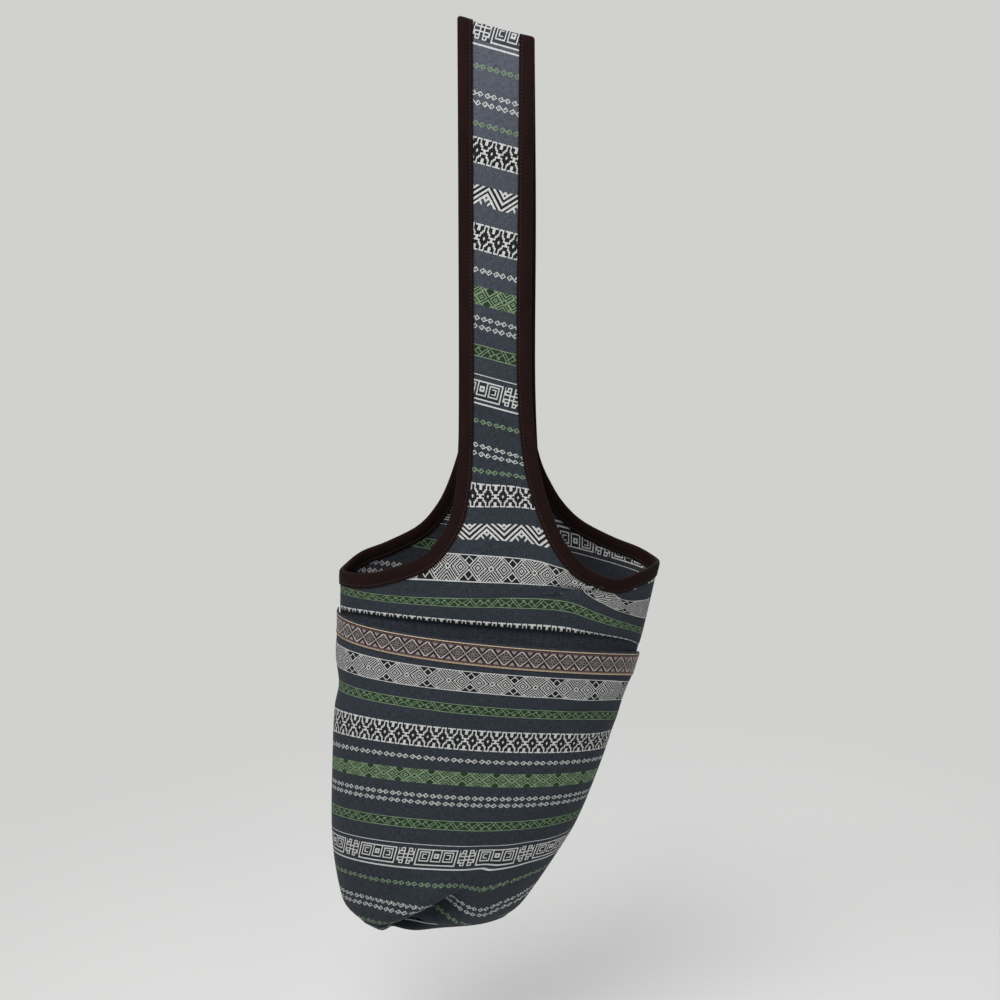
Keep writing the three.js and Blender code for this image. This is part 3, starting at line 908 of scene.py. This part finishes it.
flower = side_petal.near(1.9, 0.9) | top_petal.near(1.9, 0.9) | ((x + rise) < 0.8)
leaves = (abs(between_x - rise) - rise * 0.12) < 0.25
corners = (rise - between_x * 1.2).near(4.4, 0.6) | ((rise - between_x * 1.2) > 5.7)
pale = ((flower * 0.33 & (x + rise < 5.2)) | leaves * 0.8 | corners * 0.7) & (rise < 6.7)
dots = along.repeat(1.7).near(0.0, 0.5) & rise.near(7.7, 0.4)
edging = y.near(-9.2, 0.7) | y.near(9.5, 0.4)
shine = streaks(tree, flat.outputs[0], 300, 2600, 2)
spread = tree.nodes.new("ShaderNodeMapRange")
spread.inputs["From Min"].default_value = 0.35
spread.inputs["From Max"].default_value = 0.65
tree.links.new(shine.socket, spread.inputs["Value"])
black = mix_colours(tree, spread.outputs[0], srgb(15, 13, 14), srgb(32, 28, 30))
rose = mix_colours(tree, spread.outputs[0], srgb(168, 152, 150), srgb(204, 190, 186))
colour = mix_colours(tree, pale.socket, black, rose)
colour = mix_colours(tree, dots.socket, colour, srgb(108, 72, 68))
colour = mix_colours(tree, edging.socket, colour, srgb(186, 164, 138))
tree.links.new(colour, shader.inputs["Base Color"])
tree.links.new((shine * 0.3 + 0.45).socket, shader.inputs["Roughness"])
shader.inputs["Specular IOR Level"].default_value = 0.3
shader.inputs["Sheen Weight"].default_value = 0.08
bump = tree.nodes.new("ShaderNodeBump")
bump.inputs["Strength"].default_value = 0.5
bump.inputs["Distance"].default_value = 0.0003
tree.links.new((pale * 0.8 + edging * 0.8 + shine * 0.6).socket, bump.inputs["Height"])
tree.links.new(bump.outputs[0], shader.inputs["Normal"])
ribbon_bm = cloth_grid(ribbon_rows, ribbon_marks)
pocket_ribbon = finish_piece("ribbon_band", ribbon_bm, jacquard_ribbon)
give_thickness(pocket_ribbon, RIBBON_THICK * MM)
ribbon_stitch_bm = bmesh.new()
for down in (RIBBON_INSET + RIBBON_SEAM, RIBBON_INSET + RIBBON_WIDTH - RIBBON_SEAM):
    seam = [on_ribbon(s, down, RIBBON_SEAM_OFF) for s in evenly(360, -0.995, 0.995)]
    for a, b in zip(seam[::3], seam[1::3]):
        run = (b - a).normalized()
        sew(ribbon_stitch_bm, (a + b) / 2, run, RIBBON_STITCH_LENGTH * MM, RIBBON_STITCH_THICK * MM)
ribbon_stitches = finish_piece("ribbon_stitches", ribbon_stitch_bm, dark_thread)
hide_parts("pocket_ribbon")

# The base: an oval of the printed cotton with an oval of lining on it, sewn into the hem all round.
# Nothing stiffens it, so it bellies down below the seam, and most where the pleat lifts off it.
BASE_SAG = 10.0
PLEAT_BELLY = (22.0, 1.5)  # how far the base swells forward and down under the pleat
BELLY_X, BELLY_WIDTH = -86.0, 25.0
BASE_PRINT = [  # x, place in the print at the front hem: a white line shows under the pleat
    (-140, 360), (-104, 358), (-94, 348), (-75, 348), (-60, 350), (-40, 352.5), (20, 356),
]


def base_oval(name, inset, lift, fullness, material):
    rows = []
    marks = []
    for deep in evenly(24, inset, 1 - inset):
        row = []
        mark = []
        for across in evenly(64, inset - 1, 1 - inset):
            hem = body_surface(-1, across, HEM_Z)
            point = hem.lerp(body_surface(1, across, HEM_Z), deep)
            point.z += lift - fullness * BASE_SAG * (1 - (2 * deep - 1) ** 4) * (1 - across ** 4)
            belly = fullness ** 3 * math.exp(-((hem.x - BELLY_X) / BELLY_WIDTH) ** 2)
            belly = belly * math.sin(math.pi * min(2 * deep, 1))
            point.z -= PLEAT_BELLY[1] * belly
            from_hem = point.y - hem.y + HEM_Z + lift - point.z
            point.y -= PLEAT_BELLY[0] * belly
            row.append(point * MM)
            mark.append((point.x * MM, (read_curve(BASE_PRINT, point.x)[0] + from_hem) * MM))
        rows.append(row)
        marks.append(mark)
    bm = cloth_grid(rows, marks)
    bmesh.ops.reverse_faces(bm, faces=bm.faces)
    piece = finish_piece(name.replace("base", "base_cloth"), bm, material)
    give_thickness(piece, CANVAS_THICK * MM)
    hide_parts(name)
    return piece


base_lining = base_oval("base_lining", 0.06, 1.8, 0.6, lining_cotton)
base_panel = base_oval("base_panel", 0.0, 0.0, 1.0, printed_cotton)

# The studio: a plain pale floor that fades into a pale grey ground behind, a large soft lamp high
# at the left, a weaker one at the right and one behind.
FLOOR_Z = -0.98
FLOOR_HALF = 5
BACKGROUND = srgb(209, 209, 208)
floor_bm = bmesh.new()
bmesh.ops.create_grid(floor_bm, x_segments=1, y_segments=1, size=FLOOR_HALF)
bmesh.ops.translate(floor_bm, verts=floor_bm.verts, vec=(0, 0, FLOOR_Z))
pale_floor = bpy.data.materials.new("pale_floor")
pale_floor.use_nodes = True
tree = pale_floor.node_tree
shader = tree.nodes["Principled BSDF"]
place = tree.nodes.new("ShaderNodeTexCoord")
mottle = tree.nodes.new("ShaderNodeTexNoise")
mottle.inputs["Scale"].default_value = 3
tree.links.new(place.outputs["Object"], mottle.inputs["Vector"])
tone = mix_colours(tree, mottle.outputs["Fac"], srgb(222, 222, 222), srgb(230, 230, 229))
tree.links.new(tone, shader.inputs["Base Color"])
shader.inputs["Roughness"].default_value = 0.9


def seen_directly(tree):
    """1 where the camera, a reflection or a clear piece looks, 0 where light falls."""
    rays = tree.nodes.new("ShaderNodeLightPath").outputs
    camera_ray = Field(tree, rays["Is Camera Ray"])
    return camera_ray | Field(tree, rays["Is Glossy Ray"]) | Field(tree, rays["Is Transmission Ray"])


def either_shader(tree, mask, first, second):
    mixer = tree.nodes.new("ShaderNodeMixShader")
    tree.links.new(mask.socket, mixer.inputs[0])
    tree.links.new(first, mixer.inputs[1])
    tree.links.new(second, mixer.inputs[2])
    return mixer.outputs[0]


spot = tree.nodes.new("ShaderNodeVectorMath")
spot.operation = "DISTANCE"
spot.inputs[1].default_value = (0.12, 0.25, FLOOR_Z)
tree.links.new(place.outputs["Object"], spot.inputs[0])
# Near the bag a third of the floor the camera sees is the even grey glow, painted light that lifts the
# bag's cast shadow; further out it is all glow.
away = tree.nodes.new("ShaderNodeMapRange")
away.interpolation_type = "SMOOTHSTEP"
away.inputs["From Min"].default_value = 0.15
away.inputs["From Max"].default_value = 1.3
away.inputs["To Min"].default_value = 0.35
tree.links.new(spot.outputs["Value"], away.inputs["Value"])
glow = tree.nodes.new("ShaderNodeEmission")
glow.inputs["Color"].default_value = BACKGROUND
faded_floor = either_shader(
    tree, seen_directly(tree) & Field(tree, away.outputs[0]), shader.outputs[0], glow.outputs[0]
)
tree.links.new(faded_floor, tree.nodes["Material Output"].inputs["Surface"])
floor_mesh = bpy.data.meshes.new("floor")
floor_bm.to_mesh(floor_mesh)
floor_bm.free()
floor_mesh.materials.append(pale_floor)
floor = bpy.data.objects.new("floor", floor_mesh)
bpy.context.scene.collection.objects.link(floor)
for name, spot, size, power in (
    ("high_left", (-0.6, -1.05, 0.8), 1.2, 32), ("low_right", (1.5, -1.7, 0.0), 1.8, 11),
    ("high_back", (0.6, 1.3, 0.9), 1.2, 16),
):
    lamp_data = bpy.data.lights.new(name, "AREA")
    lamp_data.size = size
    lamp_data.energy = power
    lamp = bpy.data.objects.new(name, lamp_data)
    lamp.location = spot
    lamp.rotation_euler = (Vector((0, 0, -0.4)) - Vector(spot)).to_track_quat("-Z", "Y").to_euler()
    bpy.context.scene.collection.objects.link(lamp)
camera_data = bpy.data.cameras.new("camera")
camera_data.lens = 52.75
camera_data.sensor_width = 36
camera = bpy.data.objects.new("camera", camera_data)
camera.location = (0.00356, -1.35, -0.23656)
camera.rotation_euler = (math.radians(90 - 7.845), 0, 0)
bpy.context.scene.collection.objects.link(camera)
bpy.context.scene.camera = camera
bpy.context.scene.view_settings.view_transform = "Standard"
world = bpy.data.worlds.new("studio")
bpy.context.scene.world = world
world.use_nodes = True
tree = world.node_tree
sky = tree.nodes["Background"]
sky.inputs["Color"].default_value = (0.8, 0.8, 0.8, 1)
sky.inputs["Strength"].default_value = 0.4
ground = tree.nodes.new("ShaderNodeBackground")
ground.inputs["Color"].default_value = BACKGROUND
seen = either_shader(tree, seen_directly(tree), sky.outputs[0], ground.outputs[0])
tree.links.new(seen, tree.nodes["World Output"].inputs["Surface"])
